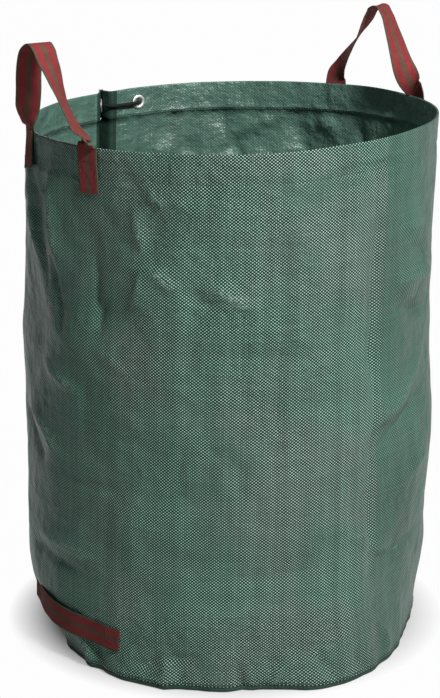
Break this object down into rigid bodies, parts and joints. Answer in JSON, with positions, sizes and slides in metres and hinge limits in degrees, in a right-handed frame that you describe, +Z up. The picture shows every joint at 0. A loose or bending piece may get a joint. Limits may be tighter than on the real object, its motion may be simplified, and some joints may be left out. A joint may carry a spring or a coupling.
{
  "type": "garden waste bag",
  "caption": "Round self-standing woven garden waste bag with an open hooped mouth, webbing loop handles, a low grip and a laced cord at the side seam.",
  "frame": {"origin": "centre of the base, on the ground", "axes": "+Z up; the viewer of the picture looks along +Y; +X to the viewer's right"},
  "size_m": [0.6803, 0.6776, 1.0178],
  "materials": {
    "cloth": "woven plastic tape in two greens, slightly glossy",
    "hoop": "spring strip hidden in the hem",
    "webbing": "ribbed webbing, red with olive edges and middle stripe",
    "eyelet": "plated pressed steel",
    "cord": "black braided cord"
  },
  "bodies": {
    "root": {"side_wall": "cloth", "base_panel": "cloth", "hoop": "hoop", "left_handle": "webbing", "right_handle": "webbing", "lower_handle": "webbing", "right_eyelet": "eyelet", "right_eyelet_washer": "eyelet", "left_eyelet": "eyelet", "left_eyelet_washer": "eyelet", "lashing_cord": "cord"}
  },
  "joints": []
}
